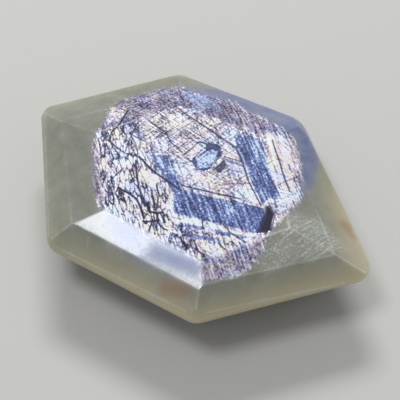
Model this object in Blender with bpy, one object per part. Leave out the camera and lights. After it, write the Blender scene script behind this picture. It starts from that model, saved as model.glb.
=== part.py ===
"""A bicolor sapphire, cut by hand as a flat six-sided step cut.

The stone is one solid. It starts as a plain block and is ground down facet by facet, the way a
cutter works it: the girdle round its six sides, then the crown above it, which has a steep outer
row of facets, a flatter row round the table and the table itself, and then the pavilion below,
which has two rows of facets and a flat base. The girdle and the corners are rubbed round.

The stone lies on its base with its table up: +Z is up, +X is to the right of its outline, and the
origin is on the surface below the middle of the outline. All driving dimensions are in millimetres.
"""

import math
from collections import namedtuple

import bmesh
import bpy
from mathutils import Vector

MM = 0.001

# Levels above the surface that the stone lies on.
TABLE_LEVEL = 4.3
GIRDLE_LEVEL = 2.75
PAVILION_BREAK_LEVEL = 1.05
BASE_LEVEL = 0.0

# The girdle's profile is half round.
GIRDLE_RADIUS = 0.55

# A tilt is how far a facet leans over, as the angle from straight up to its outward normal. The
# table has tilt 0, an upright wall has tilt 90, and the pavilion's facets face down.
GIRDLE_TILT = 90.0
PAVILION_TILT = 130.0
LOWER_PAVILION_TILT = 150.0

# The rough block that the facets are ground from.
ROUGH_WIDTH = 30.0

# One side of the six-sided outline. A facing is the compass direction that a facet looks in, in
# degrees counterclockwise from +X, and a reach is how far out its edge lies from the cutting axis.
# The crown facet and the table's edge don't quite follow the girdle, because each was cut by eye.
Side = namedtuple(
    "Side", "facing reach crown_facing crown_tilt table_facing table_reach bevel_tilt"
)
SIDES = {
    "back_left": Side(108.1, 8.3, 110.5, 23.0, 112.0, 5.0, 15.5),
    "back_right": Side(63.3, 7.0, 63.5, 26.5, 65.0, 4.1, 18.0),
    "right": Side(17.9, 6.7, 12.5, 30.0, 8.0, 3.9, 15.5),
    "front_right": Side(-73.6, 6.5, -71.5, 37.0, -67.5, 4.0, 16.5),
    "front_left": Side(-120.5, 6.05, -121.5, 35.5, -121.5, 3.65, 19.5),
    "left": Side(-173.3, 7.7, -171.5, 31.5, -172.0, 4.75, 15.5),
}

# How round each corner of the outline is worn, and the two sides that meet there. The rubbing
# leans over more than the crown facets do, so it runs out a short way up each ridge.
CORNERS = (
    ("back_left", "back_right", 0.8),
    ("back_right", "right", 1.6),
    ("right", "front_right", 0.9),
    ("front_right", "front_left", 1.0),
    ("front_left", "left", 0.9),
    ("left", "back_left", 0.8),
)
CORNER_STEPS = 4
CORNER_EXTRA_TILT = 14.0

# The body colour of the finished stone, a polished milky crystal.
BODY_COLOUR = (0.27, 0.26, 0.19, 1.0)
BODY_ROUGHNESS = 0.15
BODY_IOR = 1.77


def compass(facing):
    """The level unit vector that points along a compass direction."""
    angle = math.radians(facing)
    return Vector((math.cos(angle), math.sin(angle), 0.0))


def facet_normal(facing, tilt):
    """The outward normal of a facet."""
    lean = math.radians(tilt)
    return compass(facing) * math.sin(lean) + Vector((0.0, 0.0, math.cos(lean)))


def grind(stone, normal, point):
    """Grinds one flat facet: all of the stone outside a plane is taken away."""
    everything = stone.verts[:] + stone.edges[:] + stone.faces[:]
    cut = bmesh.ops.bisect_plane(
        stone, geom=everything, plane_co=point * MM, plane_no=normal, clear_outer=True
    )
    rim = [item for item in cut["geom_cut"] if isinstance(item, bmesh.types.BMEdge)]
    bmesh.ops.contextual_create(stone, geom=rim)


def grind_side(stone, facing, reach, crown_facing, crown_tilt):
    """Grinds the rounded girdle, the crown facet above it and the two pavilion facets below it."""
    core = compass(facing) * (reach - GIRDLE_RADIUS) + Vector((0.0, 0.0, GIRDLE_LEVEL))
    upper_tilt = (crown_tilt + GIRDLE_TILT) / 2
    lower_tilt = (PAVILION_TILT + GIRDLE_TILT) / 2
    for tilt in (upper_tilt, GIRDLE_TILT, lower_tilt, PAVILION_TILT):
        normal = facet_normal(facing, tilt)
        grind(stone, normal, core + normal * GIRDLE_RADIUS)
    crown_edge = core + facet_normal(facing, crown_tilt) * GIRDLE_RADIUS
    grind(stone, facet_normal(crown_facing, crown_tilt), crown_edge)
    pavilion_edge = core + facet_normal(facing, PAVILION_TILT) * GIRDLE_RADIUS
    drop = pavilion_edge.z - PAVILION_BREAK_LEVEL
    run = drop / math.tan(math.radians(180.0 - PAVILION_TILT))
    pavilion_break = pavilion_edge - compass(facing) * run - Vector((0.0, 0.0, drop))
    grind(stone, facet_normal(facing, LOWER_PAVILION_TILT), pavilion_break)


def rounding_centre(first, second, radius):
    """The centre of the circle that touches two sides of the outline from inside."""
    a = compass(first.facing)
    b = compass(second.facing)
    cross = a.x * b.y - a.y * b.x
    x = ((first.reach - radius) * b.y - (second.reach - radius) * a.y) / cross
    y = ((second.reach - radius) * a.x - (first.reach - radius) * b.x) / cross
    return Vector((x, y, 0.0))


def rub_corner(stone, first, second, radius):
    """Rubs one corner of the outline round, as narrow facets that touch the rounding circle."""
    centre = rounding_centre(first, second, radius)
    turn = (second.facing - first.facing + 180.0) % 360.0 - 180.0
    for step in range(1, CORNER_STEPS):
        share = step / CORNER_STEPS
        facing = first.facing + turn * share
        reach = centre.dot(compass(facing)) + radius
        tilt = first.crown_tilt + (second.crown_tilt - first.crown_tilt) * share
        grind_side(stone, facing, reach, facing, tilt + CORNER_EXTRA_TILT)


def saw_block(stone):
    """The uncut block, already sawn flat where the table and the base will be."""
    size = Vector((ROUGH_WIDTH, ROUGH_WIDTH, TABLE_LEVEL - BASE_LEVEL))
    middle = Vector((0.0, 0.0, (TABLE_LEVEL + BASE_LEVEL) / 2))
    bmesh.ops.create_cube(stone, size=1.0)
    bmesh.ops.scale(stone, vec=size * MM, verts=stone.verts)
    bmesh.ops.translate(stone, vec=middle * MM, verts=stone.verts)


def centre_outline(stone):
    """Moves the stone so that the middle of its outline is over the origin."""
    xs = [vertex.co.x for vertex in stone.verts]
    ys = [vertex.co.y for vertex in stone.verts]
    middle = Vector(((min(xs) + max(xs)) / 2, (min(ys) + max(ys)) / 2, 0.0))
    bmesh.ops.translate(stone, vec=-middle, verts=stone.verts)


def cut_stone():
    """The whole stone as one mesh."""
    stone = bmesh.new()
    saw_block(stone)
    for side in SIDES.values():
        grind_side(stone, side.facing, side.reach, side.crown_facing, side.crown_tilt)
    for first, second, radius in CORNERS:
        rub_corner(stone, SIDES[first], SIDES[second], radius)
    for side in SIDES.values():
        table_edge = compass(side.table_facing) * side.table_reach
        normal = facet_normal(side.table_facing, side.bevel_tilt)
        grind(stone, normal, table_edge + Vector((0.0, 0.0, TABLE_LEVEL)))
    centre_outline(stone)
    bmesh.ops.recalc_face_normals(stone, faces=stone.faces)
    mesh = bpy.data.meshes.new("sapphire")
    stone.to_mesh(mesh)
    stone.free()
    return mesh


def polished_crystal():
    """The material of the stone: hard, glossy and milky."""
    material = bpy.data.materials.new("milky_sapphire")
    material.use_nodes = True
    shader = material.node_tree.nodes["Principled BSDF"]
    shader.inputs["Base Color"].default_value = BODY_COLOUR
    shader.inputs["Roughness"].default_value = BODY_ROUGHNESS
    shader.inputs["IOR"].default_value = BODY_IOR
    return material


def main():
    for old in list(bpy.data.objects):
        bpy.data.objects.remove(old)
    collection = bpy.data.collections.new("bicolor_sapphire")
    bpy.context.scene.collection.children.link(collection)
    sapphire = bpy.data.objects.new("sapphire", cut_stone())
    sapphire.data.materials.append(polished_crystal())
    collection.objects.link(sapphire)


main()
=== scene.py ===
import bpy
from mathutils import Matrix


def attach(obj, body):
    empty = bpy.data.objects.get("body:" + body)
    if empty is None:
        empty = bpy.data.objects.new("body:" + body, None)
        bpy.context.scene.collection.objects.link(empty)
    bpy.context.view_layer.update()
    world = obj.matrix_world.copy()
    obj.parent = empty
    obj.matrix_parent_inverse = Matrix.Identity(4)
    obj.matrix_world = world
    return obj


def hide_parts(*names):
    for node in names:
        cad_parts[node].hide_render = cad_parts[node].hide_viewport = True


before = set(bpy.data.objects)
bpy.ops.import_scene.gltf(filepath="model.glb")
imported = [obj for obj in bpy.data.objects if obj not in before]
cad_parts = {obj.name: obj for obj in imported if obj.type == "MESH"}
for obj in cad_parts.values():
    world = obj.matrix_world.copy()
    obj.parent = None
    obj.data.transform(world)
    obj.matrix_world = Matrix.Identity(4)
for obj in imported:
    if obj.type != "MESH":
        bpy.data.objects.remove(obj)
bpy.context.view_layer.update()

import math
import random

import bmesh
import bpy
import numpy as np
from mathutils import Vector, geometry

# The stone
# One natural sapphire crystal, ground on a lap into flat facets and polished. It is milky olive
# grey, with a blue-violet core that grew first and is full of silvery silk. The facets come
# from the CAD solid, and here they get rubbed ridges and two shallow hollows.
MM = 0.001

# Levels above the base: the middle and the top of the girdle, the height that every ridge of
# the crown reaches, and the table.
GIRDLE_LEVEL = 2.75
GIRDLE_TOP = 2.9
CROWN_RIDGE_LEVEL = 3.1
TABLE_LEVEL = 4.3

# Triangles that turn less than the flat angle are one facet. Edges that turn more than the
# ridge angle are rubbed, and the long ones of the crown are worn too.
WELD = 0.002
FLAT_ANGLE = math.radians(0.6)
RIDGE_ANGLE = math.radians(6.0)
RIDGE_RUB = 0.03
SHORTEST_RIDGE = 0.8
# Faces nearer to upright than this belong to the girdle, and are shaded smooth.
UPRIGHT_NORMAL = 0.3

# The longest mesh edge where the silk shines, beside the ridges, and elsewhere. The silk needs
# the finest mesh, because its zones and cracks are kept as values at the points of the mesh.
SILK_EDGE = 0.055
RIDGE_EDGE = 0.09
PLAIN_EDGE = 0.25
RIDGE_REACH = 0.12
# The places along an edge where the wanted length is looked up, and the gap below which the
# triangulation takes two points for one.
EDGE_SAMPLES = (0.0, 0.25, 0.5, 0.75, 1.0)
SAME_SPOT = 1e-6

# All outlines and lines below are in millimetres seen from above, with x to the right and y to
# the back. Their points were read off the photo, turned to this plan through the camera and
# the facets, and rounded to 0.05 mm, which is about one pixel.
# The core is a prism that runs down through the stone.
CORE = (
    (-1.1, 6.2), (1.0, 6.5), (2.6, 6.6), (5.4, 4.9), (6.3, 3.1), (6.35, 1.65),
    (5.9, -0.4), (5.45, -1.1), (4.45, -2.35), (3.5, -3.35), (3.1, -4.3),
    (2.7, -5.15), (1.8, -5.8), (0.8, -6.05), (-0.6, -6.1), (-1.55, -5.5), (-2.25, -5.35),
    (-3.45, -4.6), (-4.2, -3.9), (-4.85, -2.2), (-5.05, -1.0), (-5.3, 1.65), (-5.15, 2.45),
    (-4.8, 3.25), (-4.7, 3.9), (-4.45, 4.55), (-3.45, 5.3), (-2.55, 5.75),
)
# The silk reaches the polish in the middle of the core only.
SILK = (
    (-1.05, 5.9), (1.9, 5.05), (4.5, 3.0), (4.95, 2.4), (5.2, 0.7), (5.05, -1.3), (4.45, -2.35),
    (3.5, -3.35), (3.1, -4.3), (2.7, -5.15), (1.8, -5.8), (0.25, -6.0), (0.1, -5.1),
    (-4.5, -2.25), (-4.8, -1.9), (-5.05, -1.0), (-5.3, 1.65), (-5.15, 2.45), (-4.8, 3.25),
    (-4.7, 3.9), (-4.45, 4.55), (-4.1, 5.1), (-3.4, 5.4), (-2.3, 5.8),
)
# The table is the large flat facet on top.
TABLE = (
    (-5.2, 2.45), (-0.9, 4.25), (3.65, 2.15), (4.35, -3.3), (0.15, -5.1), (-4.5, -2.25),
)
# Growth bands of clear dark blue sapphire, with little silk in them.
BLUE_BANDS = (
    ((1.9, 2.4), (2.75, 2.2), (3.25, 2.0), (3.45, 0.45), (3.8, -0.8), (4.05, -1.6),
     (3.45, -1.6), (3.1, -2.0), (2.6, -0.55), (2.1, 1.05), (1.9, 1.55)),
    ((-1.2, -1.1), (-0.8, -1.1), (3.1, -2.15), (3.3, -2.6), (2.9, -3.65), (-1.2, -2.4)),
    ((-2.35, 1.05), (-1.45, 1.05), (-1.1, 0.0), (-0.7, -1.1), (-1.2, -1.2), (-1.75, -0.15)),
    ((-0.85, -3.0), (0.3, -3.25), (0.3, -3.45), (-0.75, -3.2)),
    ((0.6, -3.35), (1.55, -3.6), (1.55, -3.85), (0.8, -3.65)),
    ((1.65, -3.65), (2.6, -3.85), (2.0, -3.9)),
    ((-0.65, -3.55), (1.1, -3.95), (1.2, -4.15), (-0.6, -3.8)),
)
# Pale blue places, where some silk lies over the blue.
PALE_BLUE = (
    ((-0.95, 5.7), (0.35, 5.35), (0.85, 4.8), (-0.35, 4.75)),
    ((2.6, 2.0), (3.25, 2.0), (3.45, 0.4), (3.2, 0.1)),
)
# Bands and flakes where the silk is dense enough to look white.
WHITE_SILK = (
    ((-1.3, -2.45), (2.7, -3.7), (2.3, -4.25), (1.3, -3.85), (-1.25, -2.9)),
    ((3.4, 2.05), (3.75, 2.05), (4.5, -1.1), (4.15, -1.6), (3.85, -0.8)),
    ((4.05, 2.2), (4.55, 1.8), (4.8, 0.6), (4.65, -0.9), (4.4, -0.6), (4.2, 0.6)),
    ((-0.55, 1.15), (0.05, 1.8), (0.5, 1.65), (-0.2, 0.8)),
    ((-1.4, -1.1), (-1.2, -1.4), (-1.0, -1.9), (-1.25, -2.3), (-1.5, -2.2)),
    ((-2.95, -0.1), (-2.45, 0.15), (-1.95, -0.35), (-2.25, -0.75), (-2.75, -0.6)),
    ((1.35, 1.75), (2.05, 1.25), (1.9, 0.7), (1.4, 1.0)),
    ((2.3, -0.9), (2.95, -2.0), (2.6, -2.0), (2.1, -1.2)),
    ((0.1, -4.3), (1.6, -4.3), (1.2, -4.9), (0.3, -4.8)),
)
# Places where the silk is thinner and greyer.
DIM_SILK = (
    ((-4.3, 4.4), (-2.5, 5.7), (-0.9, 5.2), (-1.2, 3.6), (-3.0, 1.9), (-4.4, 2.6)),
    ((-5.3, 1.6), (-4.95, 1.6), (-4.7, -1.0), (-4.5, -2.25), (-5.05, -1.0)),
    ((0.9, -1.4), (2.0, -1.7), (2.45, -0.6), (1.3, -0.4)),
    ((-1.1, 4.3), (3.65, 2.3), (1.95, 1.6), (1.45, 2.05), (-0.4, 3.6)),
)
# A fan of bright silk behind the left corner of the table.
FAN = ((-4.5, 4.55), (-3.8, 4.4), (-3.85, 3.55), (-4.6, 3.15), (-4.8, 3.6))
# A small hexagonal mark on the table, pale blue inside, and its dark collar.
PIT = (
    (-0.15, 0.85), (0.5, 1.4), (0.8, 1.45), (1.0, 1.3), (0.95, 0.9), (0.55, 0.3), (0.0, 0.25),
    (-0.1, 0.45), (0.0, 0.6),
)
PIT_COLLAR = (
    (0.45, 1.45), (0.4, 1.75), (0.55, 1.85), (0.8, 1.8), (1.05, 1.7), (1.1, 1.3), (1.2, 1.0),
    (0.95, 0.75), (0.65, 0.35), (0.7, 0.25), (0.3, 0.05), (-0.1, 0.15), (-0.25, 0.55),
    (-0.3, 0.85), (-0.1, 0.9),
)
# Dark flakes, one beside the hexagonal mark and the others at the left and the front.
DARK_SHAPES = (
    ((0.8, 0.25), (1.3, 0.8), (1.4, 0.5), (1.35, 0.2), (1.0, -0.1)),
    ((-2.4, 0.4), (-2.05, -0.05), (-2.3, -0.1)),
    ((-1.3, -3.5), (-1.0, -3.65), (-1.1, -3.95)),
    ((0.55, -1.4), (0.75, -1.6), (0.45, -1.75)),
    ((-0.7, -4.2), (-0.3, -4.2), (-0.35, -4.5), (-0.6, -4.45)),
    ((0.1, -4.65), (0.3, -4.75), (0.5, -5.1), (0.15, -5.15)),
)
# A dark spot where the blue bands meet at the front right, which looks like a cavity.
CAVITY = (
    (3.25, -2.05), (3.5, -1.95), (3.75, -2.45), (3.6, -3.0), (3.55, -3.45), (3.25, -3.6),
    (2.85, -3.55), (2.95, -3.1), (3.2, -2.6),
)
# Cracks and needles that look dark, each a width in millimetres and the points of its line.
CRACKS = (
    (0.06, (-4.8, 2.3), (-4.5, 1.95), (-3.7, 1.2), (-2.95, 0.95)),
    (0.09, (-2.95, 0.95), (-2.2, 0.05), (-0.85, -1.1)),
    (0.07, (-3.65, 4.15), (-4.0, 3.1), (-4.4, 2.5), (-4.45, 1.95)),
    (0.05, (-4.5, 2.35), (-4.8, 2.0), (-4.65, 1.55), (-4.7, 0.9)),
    (0.05, (-3.05, 3.25), (-3.35, 2.4), (-3.65, 1.3)),
    (0.05, (-3.35, 2.35), (-2.7, 1.95)),
    (0.05, (-2.45, 3.2), (-1.65, 2.5), (-1.35, 1.85), (-0.8, 1.25)),
    (0.05, (-4.45, -0.65), (-3.7, 0.25)),
    (0.08, (-3.1, 0.75), (-3.05, -0.05), (-2.9, -0.95), (-2.65, -1.6), (-2.55, -2.05)),
    (0.05, (-2.05, -0.7), (-1.9, -1.4), (-2.0, -2.05)),
    (0.05, (-0.7, 1.1), (-0.3, 1.5), (0.05, 1.9), (0.4, 1.8)),
    (0.04, (-0.25, 0.85), (0.2, 1.4)),
    (0.05, (3.75, 2.05), (3.9, 1.3), (4.1, 0.55), (4.25, -0.3), (4.5, -1.1)),
    (0.05, (-0.8, -0.8), (0.9, -1.3), (2.05, -1.6)),
    (0.05, (0.2, -2.8), (0.25, -3.35)),
    (0.05, (1.3, -3.2), (1.55, -3.6), (2.3, -4.15)),
    (0.05, (0.95, -4.15), (1.35, -4.6)),
    (0.06, (-1.25, 4.3), (-0.4, 3.5), (0.45, 2.8), (1.4, 1.95), (1.95, 1.5)),
    (0.05, (1.95, 1.4), (2.15, 0.85), (2.5, -0.6), (3.05, -2.0)),
    (0.10, (-3.9, -0.95), (-3.35, -1.3), (-3.0, -1.6), (-2.8, -2.05), (-2.6, -2.75)),
    (0.11, (-2.35, -2.35), (-2.0, -2.45), (-1.7, -2.4)),
    (0.10, (-1.95, -2.45), (-1.95, -2.9), (-2.45, -2.95)),
    (0.06, (-1.8, -2.5), (-1.55, -3.0)),
    (0.07, (-2.2, -2.95), (-2.35, -3.5)),
    (0.07, (-1.95, -2.95), (-1.7, -3.3), (-1.45, -3.45)),
    (0.12, (-2.6, -2.9), (-2.5, -3.05)),
)
# The edges of flakes and bands that catch the light, and scratches, given in the same way.
BRIGHT_LINES = (
    (0.05, (-0.95, 4.25), (-0.25, 3.6), (0.5, 2.8)),
    (0.06, (2.0, 1.45), (2.25, 0.9), (2.6, -0.55), (3.1, -2.0)),
    (0.08, (0.6, 0.25), (0.8, 0.4), (1.25, 0.9)),
    (0.05, (-0.65, -3.35), (0.5, -3.6), (1.5, -3.95)),
    (0.10, (-1.45, 0.8), (-1.35, 0.3), (-1.0, -0.5)),
    (0.12, (-2.0, 0.9), (-1.75, 0.3)),
)
SCRATCHES = (
    (0.03, (-5.2, -3.25), (-5.25, -3.75)),
    (0.03, (3.6, -4.05), (3.7, -4.65)),
)
# The lapped facet at the front right is scuffed along its upper ridge.
SCUFFED = (
    (2.9, -4.8), (4.1, -3.1), (4.4, -2.4), (5.8, -2.5), (7.3, -4.0), (5.8, -4.6),
    (4.6, -4.7), (3.2, -5.6),
)
# The right end of the front left bevel is matt, and the blue core shows through it.
MATT_BEVEL = ((-2.1, -4.1), (0.15, -5.1), (0.15, -6.05), (-0.7, -5.7), (-2.6, -4.75))
# Below that bevel, the facet is milkier where the core lies close behind it.
HAZE = ((-4.3, -3.8), (-3.7, -4.6), (-2.6, -5.3), (-0.6, -6.3), (0.2, -6.1), (-2.6, -4.7))
# Bright silk that runs on over the right ridge of the table.
RIGHT_SILK = (
    (3.2, 2.3), (4.2, 2.6), (4.7, 2.1), (4.95, 0.7), (4.9, -1.2), (4.3, -2.0),
    (3.7, -1.7), (3.4, 0.2),
)
# Rusty stains in the rim, lines like the cracks.
STAINS = (
    (0.10, (-1.55, -6.15), (-0.7, -6.35)),
    (0.12, (7.2, -2.35), (7.7, -2.8)),
)


def distance_to_path(points, path):
    """The distance from each point to a chain of straight runs, in two or three dimensions."""
    chain = np.array(path, float)
    nearest = np.full(len(points), np.inf)
    for start, end in zip(chain[:-1], chain[1:]):
        along = end - start
        share = np.clip(((points - start) @ along) / (along @ along), 0.0, 1.0)
        gap = np.linalg.norm(points - start - share[:, None] * along, axis=1)
        nearest = np.minimum(nearest, gap)
    return nearest


def signed_distance(plan, outline):
    """How deep each point lies inside a closed outline, in millimetres; it is negative outside."""
    loop = np.array(outline + outline[:1], float)
    within = np.zeros(len(plan), bool)
    for start, end in zip(loop[:-1], loop[1:]):
        along = end - start
        if along[1]:
            crosses = (start[1] > plan[:, 1]) != (end[1] > plan[:, 1])
            edge_x = start[0] + (plan[:, 1] - start[1]) * along[0] / along[1]
            within ^= crosses & (plan[:, 0] < edge_x)
    nearest = distance_to_path(plan, loop)
    return np.where(within, nearest, -nearest)


def ramp(values, low, high):
    """0 at low, 1 at high and smooth between them."""
    share = np.clip((values - low) / (high - low), 0.0, 1.0)
    return share * share * (3.0 - 2.0 * share)


def distance_to_ridges(points, ridges):
    """The distance from each point to the nearest ridge of the crown."""
    return np.min([distance_to_path(points, ridge) for ridge in ridges], axis=0)


def wanted_edge(points, ridges):
    """The length of mesh edge that is fine enough at each point, in millimetres."""
    edge = np.full(len(points), PLAIN_EDGE)
    edge[distance_to_ridges(points, ridges) < RIDGE_REACH] = RIDGE_EDGE
    shines = (points[:, 2] > GIRDLE_LEVEL) & (signed_distance(points[:, :2], SILK) > -SILK_EDGE)
    edge[shines] = SILK_EDGE
    return edge


def rubbed_stone():
    """The cut stone with its ridges slightly rubbed, as points, facets and ridges."""
    stone = bmesh.new()
    stone.from_mesh(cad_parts["sapphire"].data)
    bmesh.ops.remove_doubles(stone, verts=stone.verts, dist=WELD * MM)
    bmesh.ops.dissolve_limit(
        stone, angle_limit=FLAT_ANGLE, verts=stone.verts, edges=stone.edges
    )
    sharp_edges = [edge for edge in stone.edges if edge.calc_face_angle() > RIDGE_ANGLE]
    ridges = [
        [tuple(vertex.co / MM) for vertex in edge.verts]
        for edge in sharp_edges
        if max(vertex.co.z for vertex in edge.verts) > CROWN_RIDGE_LEVEL * MM
        and edge.calc_length() > SHORTEST_RIDGE * MM
    ]
    bmesh.ops.bevel(
        stone,
        geom=sharp_edges,
        offset=RIDGE_RUB * MM,
        segments=1,
        affect="EDGES",
        clamp_overlap=True,
    )
    bmesh.ops.remove_doubles(stone, verts=stone.verts, dist=WELD * MM)
    points = [vertex.co / MM for vertex in stone.verts]
    facets = [[vertex.index for vertex in face.verts] for face in stone.faces]
    stone.free()
    return points, facets, ridges


def divide_edge(points, divided, ridges, first, last):
    """The points along an edge between two facets, made once and shared by both."""
    if (last, first) in divided:
        return divided[last, first][::-1]
    run = points[last] - points[first]
    samples = [points[first] + run * share for share in EDGE_SAMPLES]
    pieces = math.ceil(run.length / wanted_edge(np.array(samples), ridges).min())
    row = [first]
    for piece in range(1, pieces):
        row.append(len(points))
        points.append(points[first] + run * piece / pieces)
    divided[first, last] = row + [last]
    return divided[first, last]


def fill_facet(points, divided, ridges, facet):
    """Triangles that cover one flat facet, finer where the silk shines."""
    rim = []
    for first, last in zip(facet, facet[1:] + facet[:1]):
        rim += divide_edge(points, divided, ridges, first, last)[:-1]
    flat = geometry.normal([points[i] for i in facet])
    across = (points[facet[1]] - points[facet[0]]).normalized()
    axes = np.array([across, flat.cross(across)])
    origin = np.array(points[facet[0]])
    border = (np.array([points[i] for i in rim]) - origin) @ axes.T
    corners = ((np.array([points[i] for i in facet]) - origin) @ axes.T).tolist()
    low = border.min(axis=0)
    high = border.max(axis=0)
    # The points inside stand in rows, as the corners of equal-sided triangles do.
    grains = []
    for spacing in (SILK_EDGE, RIDGE_EDGE, PLAIN_EDGE):
        columns = np.arange(low[0], high[0], spacing)
        rows = np.arange(low[1], high[1], spacing * math.sqrt(0.75))
        spots = np.array(np.meshgrid(columns, rows)).transpose(1, 2, 0)
        spots[1::2, :, 0] += 0.5 * spacing
        spots = spots.reshape(-1, 2)
        spots = spots[signed_distance(spots, corners) > 0.5 * spacing]
        if len(spots):
            grains.append(spots[np.isclose(wanted_edge(origin + spots @ axes, ridges), spacing)])
    grains = np.concatenate(grains) if grains else np.empty((0, 2))
    flat_points = [Vector(spot) for spot in np.concatenate([border, grains])]
    loop = [(i, (i + 1) % len(rim)) for i in range(len(rim))]
    faces, sources = geometry.delaunay_2d_cdt(flat_points, loop, [], 1, SAME_SPOT)[2:4]
    names = list(rim)
    for grain in grains:
        names.append(len(points))
        points.append(Vector(origin + grain @ axes))
    return [[names[sources[corner][0]] for corner in face] for face in faces]


points, facets, ridges = rubbed_stone()
divided = {}
triangles = []
for facet in facets:
    triangles += fill_facet(points, divided, ridges, facet)
points = np.array(points)
plan = points[:, :2]
crown = points[:, 2] > GIRDLE_TOP


# Borders and lines are blurred by this much, in millimetres, where nothing else is given.
BORDER_BLUR = 0.06
LINE_BLUR = 0.04


def filled(outlines, blur=BORDER_BLUR):
    """1 inside any of the outlines on the crown and 0 outside, blurred at the border."""
    inside = [ramp(signed_distance(plan, outline), -blur, blur) for outline in outlines]
    return np.max(inside, axis=0) * crown


def drawn(lines, blur=LINE_BLUR):
    """1 on any of the lines on the crown and 0 beside them; a line starts with its width."""
    cover = np.zeros(len(points))
    for width, *path in lines:
        gap = distance_to_path(plan, path)
        fade_start = 0.5 * (width - LINE_BLUR)
        cover = np.maximum(cover, 1.0 - ramp(gap, fade_start, 0.5 * width + blur))
    return cover * crown


# Silk needles lie mostly in three directions, and hairs cross them in a fourth. Angles are in
# degrees from the x axis, and lengths and widths in millimetres.
NEEDLE_DIRECTIONS = (-41.0, -70.8, -17.3, 40.0)
NEEDLE_SCATTER = 9.0
NEEDLE_COUNT = 650
NEEDLE_FIELD_X = (-5.3, 5.5)
NEEDLE_FIELD_Y = (-6.0, 5.9)
NEEDLE_LENGTHS = (0.3, 2.4)
NEEDLE_HALF_WIDTHS = (0.0, 0.02)
NEEDLE_STRENGTHS = (0.2, 0.7)
random.seed(11)
needles = []
for _ in range(NEEDLE_COUNT):
    middle = np.array([random.uniform(*NEEDLE_FIELD_X), random.uniform(*NEEDLE_FIELD_Y)])
    turn = math.radians(random.choice(NEEDLE_DIRECTIONS) + random.gauss(0.0, NEEDLE_SCATTER))
    reach = random.uniform(*NEEDLE_LENGTHS) / 2.0
    step = np.array([math.cos(turn), math.sin(turn)]) * reach
    needles.append((random.uniform(*NEEDLE_HALF_WIDTHS), middle - step, middle + step))
needle_cover = np.zeros(len(points))
for half_width, start, end in needles:
    strength = random.uniform(*NEEDLE_STRENGTHS)
    near = np.abs(plan - start).max(axis=1) < NEEDLE_LENGTHS[1]
    gap = distance_to_path(plan[near], (start, end))
    fade_start = half_width - 0.25 * LINE_BLUR
    cover = strength * (1.0 - ramp(gap, fade_start, half_width + LINE_BLUR))
    needle_cover[near] = np.maximum(needle_cover[near], cover)

# From here on, each zone is a value at every point of the mesh, from 0 outside to 1 inside.
# The ramps run between places on the stone, in millimetres.
PALE_BLUE_SHARE = 0.9
x, y = plan.T
on_table = filled([TABLE], blur=0.03)
fan = filled([FAN], blur=0.15)
pale_blue = filled(PALE_BLUE, blur=0.12)
pit = filled([PIT], blur=0.03)
collar = filled([PIT_COLLAR], blur=0.03) * (1.0 - pit)
cavity = filled([CAVITY], blur=0.14)
white = filled(WHITE_SILK, blur=0.1)
dim = filled(DIM_SILK, blur=0.5) * on_table
blue = np.maximum.reduce(
    [filled(BLUE_BANDS), PALE_BLUE_SHARE * pale_blue, filled([PIT, PIT_COLLAR], blur=0.03)]
)
# Painted sheen: the silk on the table is painted brighter, because the table catches the light
# towards the camera, and so are two patches of bright silk beyond it.
sheen_and_bright_silk = np.maximum.reduce([filled([TABLE], blur=0.35), filled([RIGHT_SILK], blur=0.4), fan])
# At the left and the front of the table the silk is broken into flakes, with cracks between
# them in all directions. Elsewhere it is hatched.
flaky = np.maximum(ramp(-(x + 0.45 * y), 1.0, 2.6), 0.6 * ramp(-y, 2.6, 3.4))
flaky = flaky * on_table * (1.0 - white) * (1.0 - blue)
hatched = ramp(x + y, -1.5, 1.0) * ramp(-x, -3.0, 0.5) * (0.6 + 0.4 * sheen_and_bright_silk)
# The silk's patterns are painted stronger where its sheen is painted.
sheen_contrast = 0.72 + 0.28 * sheen_and_bright_silk

# The brightness of the silk, from 0 for black to 1 for white: what each kind of place has, or
# adds to that of the plain silk.
PLAIN_SILK = 0.49
TABLE_SHEEN_GAIN = 0.43
DIM_LOSS = 0.17
FRONT_GAIN = 0.12
FLAKE_GAIN = 0.32
PALE_BLUE_GAIN = 0.25
BAND_LIGHT = 0.61
PIT_LIGHT = 1.0
LINE_LIGHT = 1.1
WHITE_LIGHT = 1.2
WHITE_SHARE = 0.9


def blend(values, target, share):
    """The values, moved towards the target by a share from 0 to 1."""
    return values + (target - values) * share


# The table's gain is painted sheen, where the table catches the light.
silk_light = PLAIN_SILK + TABLE_SHEEN_GAIN * sheen_and_bright_silk - DIM_LOSS * dim
silk_light += FRONT_GAIN * ramp(-y, 3.4, 4.6) * (1.0 - on_table)
silk_light = blend(silk_light, WHITE_LIGHT, WHITE_SHARE * white) + FLAKE_GAIN * flaky
silk_light = blend(silk_light, BAND_LIGHT, blue) + PALE_BLUE_GAIN * pale_blue
silk_light = blend(silk_light, PIT_LIGHT, pit)
silk_light = blend(silk_light, LINE_LIGHT, drawn(BRIGHT_LINES))

# How dark the cracks, needles, flakes and hollows are. The collar is darkest at its right, and
# needles show less in the blue bands and beside the bright silk, and not in the hexagonal mark.
DARK_FLAKE = 0.76
dark = np.maximum.reduce([
    drawn(CRACKS),
    collar * (0.5 + 0.22 * ramp(x, 0.2, 0.8)),
    needle_cover * (1.0 - 0.6 * blue) * (0.5 + 0.5 * sheen_and_bright_silk) * (1.0 - pit),
    DARK_FLAKE * filled(DARK_SHAPES, blur=0.04),
    cavity,
])

# The silk fades out at its border, most softly at the back. The core's border is blurred by
# the milky rim over it, and its blue shows through the matt bevel.
CORE_IN_BEVEL = 0.8
fade = 0.30 + 0.35 * ramp(y, 3.5, 5.0)
silk = ramp(signed_distance(plan, SILK) / fade, -1.0, 1.0) * (points[:, 2] > GIRDLE_LEVEL)
matt = filled([MATT_BEVEL], blur=0.55) * (1.0 - silk)
core = np.maximum(ramp(signed_distance(plan, CORE), -0.15, 0.5), CORE_IN_BEVEL * matt)
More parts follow.
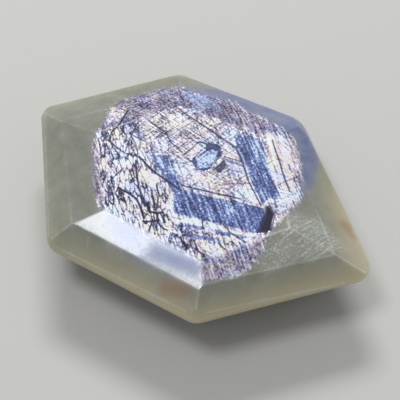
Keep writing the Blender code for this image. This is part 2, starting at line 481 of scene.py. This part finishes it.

# The ridges are whitest at the front. The rim is thin at the girdle, and a painted glow makes it
# paler there, most at the front right, where the most light comes through it.
STAIN = 0.45
RIM_GLOW_REACH = 1.3
ridge_wear = 1.0 - ramp(distance_to_ridges(points, ridges), 0.01, 0.09)
ridge_wear *= 0.25 + 0.75 * ramp(-y, 1.5, 4.0)
worn = np.maximum(ridge_wear, drawn(SCRATCHES, blur=0.08))
scuffed = filled([SCUFFED], blur=0.4)
hazy = filled([HAZE], blur=0.35)
stained = STAIN * drawn(STAINS, blur=0.5)
# Painted glow of light that comes through the rim, strongest near the girdle and at the front
# right.
rim_glow = 1.0 - ramp(np.abs(points[:, 2] - GIRDLE_LEVEL), 0.0, RIM_GLOW_REACH)
rim_glow *= 0.25 + 0.75 * ramp(0.45 * x - 0.9 * y, -2.0, 4.0) * ramp(-y, -2.0, 2.0)

# The hexagonal mark and the dark spot look hollow in the photo, so they are sunk a little.
PIT_DEPTH = 0.03
CAVITY_DEPTH = 0.08
points[:, 2] -= PIT_DEPTH * filled([PIT_COLLAR], blur=0.03)
points[:, 2] -= CAVITY_DEPTH * filled([CAVITY], blur=0.07)

mesh = bpy.data.meshes.new("cut_sapphire")
mesh.from_pydata(points * MM, [], triangles)
for polygon in mesh.polygons:
    polygon.use_smooth = abs(polygon.normal.z) < UPRIGHT_NORMAL
zones = {
    "core": core, "silk": silk, "silk_light": silk_light, "blue": blue, "dark": dark,
    "flaky": flaky, "hatched": hatched, "worn": worn, "scuffed": scuffed,
    "matt": matt, "hazy": hazy, "stained": stained, "rim_glow": rim_glow, "sheen_contrast": sheen_contrast,
}
for name, values in zones.items():
    mesh.attributes.new(name, "FLOAT", "POINT").data.foreach_set("value", values)
sapphire = bpy.data.objects.new("cut_sapphire", mesh)
bpy.context.scene.collection.objects.link(sapphire)


def linear(code):
    """A colour written as sRGB hex, turned into the linear values that shaders use."""
    parts = [int(code[i : i + 2], 16) / 255.0 for i in (1, 3, 5)]
    return [p / 12.92 if p <= 0.04045 else ((p + 0.055) / 1.055) ** 2.4 for p in parts] + [1.0]


def add_node(tree, kind, inputs=None, **settings):
    """Add a node, apply its settings, and set or link its inputs."""
    node = tree.nodes.new(kind)
    for name, value in settings.items():
        setattr(node, name, value)
    for name, value in (inputs or {}).items():
        if isinstance(value, bpy.types.NodeSocket):
            tree.links.new(value, node.inputs[name])
        else:
            node.inputs[name].default_value = value
    return node


def set_ramp(node, stops):
    """Give a colour ramp its stops, each a place and an sRGB hex colour."""
    stretch = node.color_ramp.elements
    while len(stretch) < len(stops):
        stretch.new(0.5)
    for stop, (place, code) in zip(stretch, stops):
        stop.position = place
        stop.color = linear(code)


# Milky sapphire: corundum clouded by tiny inclusions and silk. Light sinks a millimetre or two
# into it, so the rim glows softly, while the polish gives a sharp bright gloss.
milky = bpy.data.materials.new("milky_sapphire")
milky.use_nodes = True
tree = milky.node_tree
surface = tree.nodes["Principled BSDF"]
place = add_node(tree, "ShaderNodeTexCoord").outputs["Object"]
zone = {
    name: add_node(tree, "ShaderNodeAttribute", attribute_name=name).outputs["Fac"]
    for name in zones
}

# Noise patterns of the silk, each with the length, width and depth of its threads. Real ones
# are a few thousandths of a millimetre wide, too fine to show, so they are drawn coarser.
HATCH = (1.4 * MM, 0.10 * MM, 1.0 * MM)
STRAND = (1.2 * MM, 0.11 * MM, 1.0 * MM)
HAIR = (2.2 * MM, 0.06 * MM, 1.0 * MM)
GRAIN = (0.12 * MM, 0.12 * MM, 0.12 * MM)
CLOUD = (0.9 * MM, 0.9 * MM, 0.9 * MM)
# Noise hardly leaves this range, which is stretched to run from -0.5 to 0.5.
NOISE_LOW = 0.32
NOISE_HIGH = 0.68
patterns = {}
for name, turn, size in (
    ("hatch", -41.0, HATCH), ("cross", 40.0, HATCH), ("strand", -72.0, STRAND),
    ("hair", -36.0, HAIR), ("cross_hair", 47.0, HAIR),
    ("grain", 0.0, GRAIN), ("cloud", 0.0, CLOUD),
):
    laid = add_node(
        tree, "ShaderNodeMapping",
        {"Vector": place, "Rotation": (0.0, 0.0, math.radians(turn)), "Scale": size},
        vector_type="TEXTURE",
    )
    texture = add_node(
        tree, "ShaderNodeTexNoise",
        {"Vector": laid.outputs["Vector"], "Scale": 1.0, "Detail": 2.0, "Roughness": 0.6},
    )
    patterns[name] = add_node(
        tree, "ShaderNodeMapRange",
        {"Value": texture.outputs["Fac"], "From Min": NOISE_LOW, "From Max": NOISE_HIGH,
         "To Min": -0.5, "To Max": 0.5},
    ).outputs["Result"]

# Cracks around the flakes. A noise of about a flake's size bends them, so that they don't run
# straight. How far they are bent and how wide they are is given in flakes.
FLAKE = (0.70 * MM, 0.21 * MM, 0.6 * MM)
FLAKE_TURN = math.radians(-78.0)
BEND = (0.8, 0.8, 0.8)
FLAKE_CRACK_WIDTH = 0.19
flake_place = add_node(
    tree, "ShaderNodeMapping",
    {"Vector": place, "Rotation": (0.0, 0.0, FLAKE_TURN), "Scale": FLAKE},
    vector_type="TEXTURE",
)
bent = add_node(
    tree, "ShaderNodeTexNoise",
    {"Vector": flake_place.outputs["Vector"], "Scale": 0.9, "Detail": 2.0},
)
pushed = add_node(
    tree, "ShaderNodeVectorMath",
    {0: bent.outputs["Color"], 1: BEND, 2: flake_place.outputs["Vector"]},
    operation="MULTIPLY_ADD",
)
flakes = add_node(
    tree, "ShaderNodeTexVoronoi", {"Vector": pushed.outputs["Vector"], "Scale": 1.0},
    feature="DISTANCE_TO_EDGE",
)
flake_cracks = add_node(
    tree, "ShaderNodeMapRange",
    {"Value": flakes.outputs["Distance"], "From Min": 0.0, "From Max": FLAKE_CRACK_WIDTH,
     "To Min": 1.0, "To Max": 0.0},
).outputs["Result"]

# Each flake lies at its own angle, so some catch more light: a painted sheen that is brighter on
# some flakes than on others.
flake_sheen_cells = add_node(
    tree, "ShaderNodeTexVoronoi", {"Vector": pushed.outputs["Vector"], "Scale": 1.0}
)
flake_sheen_tone = add_node(
    tree, "ShaderNodeMath", {0: flake_sheen_cells.outputs["Color"], 1: 0.5}, operation="SUBTRACT"
).outputs["Value"]

# Only the darkest threads of the two hair patterns show, as separate hairlines.
HAIR_LIMIT = -0.12
hairlines = [
    add_node(
        tree, "ShaderNodeMapRange",
        {"Value": patterns[name], "From Min": -0.5, "From Max": HAIR_LIMIT,
         "To Min": 1.0, "To Max": 0.0},
    ).outputs["Result"]
    for name in ("hair", "cross_hair")
]

# The brightness of the silk: that of its zone, made uneven by the patterns and less the
# cracks. Each row has a pattern, how much it adds, and the zone it is held to.
unhatched = add_node(tree, "ShaderNodeMath", {0: 1.0, 1: zone["hatched"]}, operation="SUBTRACT")
uneven = 0.0
for pattern, amount, where in (
    (patterns["hatch"], 0.60, zone["hatched"]),
    (patterns["cross"], 0.52, zone["hatched"]),
    (patterns["strand"], 0.80, unhatched.outputs["Value"]),
    (hairlines[0], -0.56, zone["hatched"]),
    (hairlines[1], -0.52, zone["hatched"]),
    (patterns["grain"], 0.70, None),
    (patterns["cloud"], 0.28, None),
    (flake_cracks, -1.00, zone["flaky"]),
    (flake_sheen_tone, 0.90, zone["flaky"]),
    (flake_sheen_tone, -0.10, zone["blue"]),
    (flake_sheen_tone, 0.28, None),
):
    share = add_node(tree, "ShaderNodeMath", {0: pattern, 1: amount}, operation="MULTIPLY")
    if where:
        share = add_node(
            tree, "ShaderNodeMath", {0: share.outputs["Value"], 1: where}, operation="MULTIPLY"
        )
    uneven = add_node(
        tree, "ShaderNodeMath", {0: uneven, 1: share.outputs["Value"]}, operation="ADD"
    ).outputs["Value"]
whole_light = add_node(
    tree, "ShaderNodeMath", {0: uneven, 1: zone["sheen_contrast"], 2: zone["silk_light"]},
    operation="MULTIPLY_ADD",
)
unbroken = add_node(tree, "ShaderNodeMath", {0: 1.0, 1: zone["dark"]}, operation="SUBTRACT")
light = add_node(
    tree, "ShaderNodeMath",
    {0: whole_light.outputs["Value"], 1: unbroken.outputs["Value"]}, operation="MULTIPLY",
).outputs["Value"]

# The colours of the silk from dark to light, then those of the clear blue bands, and a faint
# tinge of blue, pink and cream over the silk, in patches of about 1.6 mm.
silver_grey = add_node(tree, "ShaderNodeValToRGB", {"Fac": light})
set_ramp(silver_grey, (
    (0.0, "#201e30"), (0.25, "#5a5a80"), (0.5, "#a7a3bf"), (0.75, "#e0dde8"), (0.95, "#ffffff"),
))
depth_blue = add_node(tree, "ShaderNodeValToRGB", {"Fac": light})
set_ramp(depth_blue, (
    (0.0, "#2c3358"), (0.4, "#566098"), (0.65, "#7c8ac0"), (0.9, "#a6c0e0"), (1.0, "#dbe6f6"),
))
TINGE_SIZE = 1.6 * MM
tinge = add_node(
    tree, "ShaderNodeTexNoise", {"Vector": place, "Scale": 1.0 / TINGE_SIZE, "Detail": 1.0}
)
tint = add_node(tree, "ShaderNodeValToRGB", {"Fac": tinge.outputs["Fac"]})
set_ramp(tint, (
    (0.30, "#edfbff"), (0.42, "#ffffff"), (0.50, "#ffeeee"), (0.58, "#fff8e6"), (0.70, "#eef0ff"),
))
silver = add_node(
    tree, "ShaderNodeMix",
    {"Factor": 1.0, 6: silver_grey.outputs["Color"], 7: tint.outputs["Color"]},
    data_type="RGBA", blend_type="MULTIPLY",
)
shine = add_node(
    tree, "ShaderNodeMix",
    {"Factor": zone["blue"], 6: silver.outputs[2], 7: depth_blue.outputs["Color"]},
    data_type="RGBA",
)

# The clouded body: olive grey at the rim, with a painted glow where it is thin, and slate blue in
# the core, with milky clouds in it, and more milk where it is hazy.
RIM = linear("#8c8c7e")
# A painted glow: the paler colour where light comes through the thin rim.
PAINTED_RIM_GLOW = linear("#c6ba98")
CORE_BLUE = linear("#717aa0")
MILK = linear("#b9b8a8")
CLOUD_MILK = 0.3
HAZE_MILK = 0.3
glowing_rim = add_node(
    tree, "ShaderNodeMix", {"Factor": zone["rim_glow"], 6: RIM, 7: PAINTED_RIM_GLOW}, data_type="RGBA"
)
body = add_node(
    tree, "ShaderNodeMix", {"Factor": zone["core"], 6: glowing_rim.outputs[2], 7: CORE_BLUE},
    data_type="RGBA",
)
clouds = add_node(
    tree, "ShaderNodeMapRange",
    {"Value": patterns["cloud"], "From Min": -0.5, "From Max": 0.5,
     "To Min": 0.0, "To Max": CLOUD_MILK},
)
milkiness = add_node(
    tree, "ShaderNodeMath", {0: zone["hazy"], 1: HAZE_MILK, 2: clouds.outputs["Result"]},
    operation="MULTIPLY_ADD",
)

# The matt end of the bevel is covered with fine pale blue flecks.
FLECK_BLUE = linear("#a9b6e2")
speck = add_node(
    tree, "ShaderNodeMapRange",
    {"Value": patterns["grain"], "From Min": -0.1, "From Max": 0.5,
     "To Min": 0.15, "To Max": 0.8},
)
flecks = add_node(
    tree, "ShaderNodeMath", {0: zone["matt"], 1: speck.outputs["Result"]}, operation="MULTIPLY"
)

# Wear shows as broken white lines along the ridges and as fine specks on the scuffed facet.
# Each row has a zone, a pattern and the range of the pattern in which the wear grows.
WORN_WHITE = linear("#e2e0d8")
LEAST_WEAR = 0.06
MOST_WEAR = 0.55
wear = []
for area, pattern, low, high in (
    (zone["worn"], patterns["cloud"], -0.3, 1.1),
    (zone["scuffed"], patterns["grain"], 0.1, 0.45),
    (zone["scuffed"], patterns["cross"], 0.1, 0.55),
):
    patchy = add_node(
        tree, "ShaderNodeMapRange",
        {"Value": pattern, "From Min": low, "From Max": high,
         "To Min": LEAST_WEAR, "To Max": MOST_WEAR},
    )
    wear.append(
        add_node(
            tree, "ShaderNodeMath", {0: area, 1: patchy.outputs["Result"]}, operation="MULTIPLY"
        ).outputs["Value"]
    )

# The silk ends raggedly: its border follows the grain and the strands.
RAGGEDNESS = 0.35
stranded = add_node(
    tree, "ShaderNodeMath", {0: patterns["strand"], 1: RAGGEDNESS, 2: zone["silk"]},
    operation="MULTIPLY_ADD",
)
ragged = add_node(
    tree, "ShaderNodeMath", {0: patterns["grain"], 1: RAGGEDNESS, 2: stranded.outputs["Value"]},
    operation="MULTIPLY_ADD",
)
silk_cover = add_node(
    tree, "ShaderNodeMapRange",
    {"Value": ragged.outputs["Value"], "From Min": 0.30, "From Max": 0.62},
)

# All colours of the stone, each laid over the ones before it.
RUST = linear("#a5744a")
colour = body.outputs[2]
for factor, paint in (
    (milkiness.outputs["Value"], MILK),
    (silk_cover.outputs["Result"], shine.outputs[2]),
    (flecks.outputs["Value"], FLECK_BLUE),
    (wear[0], WORN_WHITE),
    (wear[1], WORN_WHITE),
    (wear[2], WORN_WHITE),
    (zone["stained"], RUST),
):
    colour = add_node(
        tree, "ShaderNodeMix", {"Factor": factor, 6: colour, 7: paint}, data_type="RGBA"
    ).outputs[2]
tree.links.new(colour, surface.inputs["Base Color"])

# The polish: smooth, with fine pits, but matt on the worn ridges and at the right end of the
# front left bevel.
SMOOTH_POLISH = 0.12
PITTED_POLISH = 0.22
MATT_ROUGHNESS = 0.3
WORN_ROUGHNESS = 0.35
pitted = add_node(
    tree, "ShaderNodeMapRange",
    {"Value": patterns["grain"], "From Min": 0.0, "From Max": 0.5,
     "To Min": SMOOTH_POLISH, "To Max": PITTED_POLISH},
)
matted = add_node(
    tree, "ShaderNodeMath", {0: zone["matt"], 1: MATT_ROUGHNESS, 2: pitted.outputs["Result"]},
    operation="MULTIPLY_ADD",
)
roughness = add_node(
    tree, "ShaderNodeMath", {0: zone["worn"], 1: WORN_ROUGHNESS, 2: matted.outputs["Value"]},
    operation="MULTIPLY_ADD",
)
tree.links.new(roughness.outputs["Value"], surface.inputs["Roughness"])

# Corundum's own IOR, and how far red, green and blue light scatter in the milky crystal.
CORUNDUM_IOR = 1.77
SCATTERED_SHARE = 0.8
SCATTER_REACH = (1.7, 1.6, 1.3)
surface.inputs["IOR"].default_value = CORUNDUM_IOR
surface.inputs["Subsurface Weight"].default_value = SCATTERED_SHARE
surface.inputs["Subsurface Radius"].default_value = SCATTER_REACH
surface.inputs["Subsurface Scale"].default_value = 1.0 * MM
mesh.materials.append(milky)
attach(sapphire, "root")
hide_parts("sapphire")

# The floor
# A sheet of plain pale paper, which the stone rests on.
FLOOR_REACH = 400.0
floor_mesh = bpy.data.meshes.new("floor")
plane = bmesh.new()
bmesh.ops.create_grid(plane, x_segments=1, y_segments=1, size=FLOOR_REACH * MM)
plane.to_mesh(floor_mesh)
plane.free()
floor = bpy.data.objects.new("floor", floor_mesh)
bpy.context.scene.collection.objects.link(floor)
paper = bpy.data.materials.new("paper")
paper.use_nodes = True
paper_surface = paper.node_tree.nodes["Principled BSDF"]
paper_surface.inputs["Base Color"].default_value = linear("#d1cdc4")
paper_surface.inputs["Roughness"].default_value = 0.9
floor_mesh.materials.append(paper)

# The lights
# A softbox nearly overhead, which only the front left bevel mirrors to the camera, and a stronger
# one behind, which no facet mirrors to it and which throws the shadow forwards.
# Each has a direction from the stone, a size in millimetres and a power in watts.
SOFTBOXES = (
    ("overhead_softbox", (-0.34, 0.04, 0.94), (105.0, 105.0), 0.27),
    ("back_softbox", (-0.04, 0.77, 0.64), (140.0, 60.0), 0.58),
)
SOFTBOX_DISTANCE = 300.0
SOFTBOX_WHITE = linear("#f4f8ff")[:3]
for name, direction, (width, height), power in SOFTBOXES:
    lamp = bpy.data.lights.new(name, "AREA")
    lamp.shape = "ELLIPSE"
    lamp.size = width * MM
    lamp.size_y = height * MM
    lamp.energy = power
    lamp.color = SOFTBOX_WHITE
    softbox = bpy.data.objects.new(name, lamp)
    way = Vector(direction).normalized()
    softbox.location = way * SOFTBOX_DISTANCE * MM + Vector((0.0, 0.0, TABLE_LEVEL * MM))
    softbox.rotation_euler = way.to_track_quat("Z", "Y").to_euler()
    bpy.context.scene.collection.objects.link(softbox)
# The pale walls of the studio light it evenly from all sides.
WALL_WHITE = linear("#f2f7ff")
WALL_LIGHT = 0.33
world = bpy.data.worlds.new("studio")
bpy.context.scene.world = world
world.use_nodes = True
world.node_tree.nodes["Background"].inputs["Color"].default_value = WALL_WHITE
world.node_tree.nodes["Background"].inputs["Strength"].default_value = WALL_LIGHT
bpy.context.scene.view_settings.view_transform = "Standard"

# The camera
# It looks down at 55 degrees from the front, at a point near the middle of the stone, and
# its frame is 20 mm wide there. Sizes are in millimetres.
ELEVATION = math.radians(55.0)
LENS = 100.0
FRAME_WIDTH = 20.0
SENSOR = 36.0
AIM = Vector((0.097, -0.769, 3.0))
camera_data = bpy.data.cameras.new("camera")
camera_data.lens = LENS
camera_data.sensor_width = SENSOR
camera_data.clip_start = 5.0 * MM
camera_data.clip_end = 5000.0 * MM
camera = bpy.data.objects.new("camera", camera_data)
back = Vector((0.0, -math.cos(ELEVATION), math.sin(ELEVATION)))
camera.location = (AIM + back * FRAME_WIDTH / SENSOR * LENS) * MM
camera.rotation_euler = back.to_track_quat("Z", "Y").to_euler()
bpy.context.scene.collection.objects.link(camera)
bpy.context.scene.camera = camera
